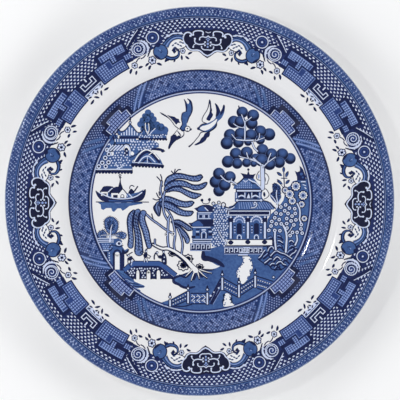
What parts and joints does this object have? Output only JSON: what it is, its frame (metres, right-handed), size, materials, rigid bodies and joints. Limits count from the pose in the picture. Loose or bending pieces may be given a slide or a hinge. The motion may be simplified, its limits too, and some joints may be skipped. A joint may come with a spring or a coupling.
{
  "type": "dinner plate",
  "caption": "Round glazed china dinner plate with a flat sunk well, a broad sloping rim, a foot ring and blue underglaze printed bands round a printed centre.",
  "frame": {"origin": "middle of the foot ring's standing face, on the plate's axis, at the lowest point of the plate", "axes": "+Z is the plate's axis, up out of the well; +Y points to the top of the printed picture and +X to its right"},
  "size_m": [0.26, 0.26, 0.024],
  "materials": {
    "biscuit": "matt, fired white earthenware",
    "glaze": "clear gloss glaze over a white body",
    "scene_ink": "cobalt blue line print under gloss glaze",
    "border_ink": "deep cobalt print under gloss glaze",
    "dark_ink": "blue-black print under gloss glaze",
    "band_ink": "mottled mid blue print under gloss glaze"
  },
  "bodies": {
    "root": {"biscuit_body": "biscuit", "glaze_coat": "glaze", "base_glaze": "glaze", "centre_scene_print": "scene_ink", "scene_frame_print": "dark_ink", "well_border_print": "border_ink", "rim_border_print": "border_ink", "edge_band_print": "band_ink"}
  },
  "joints": []
}
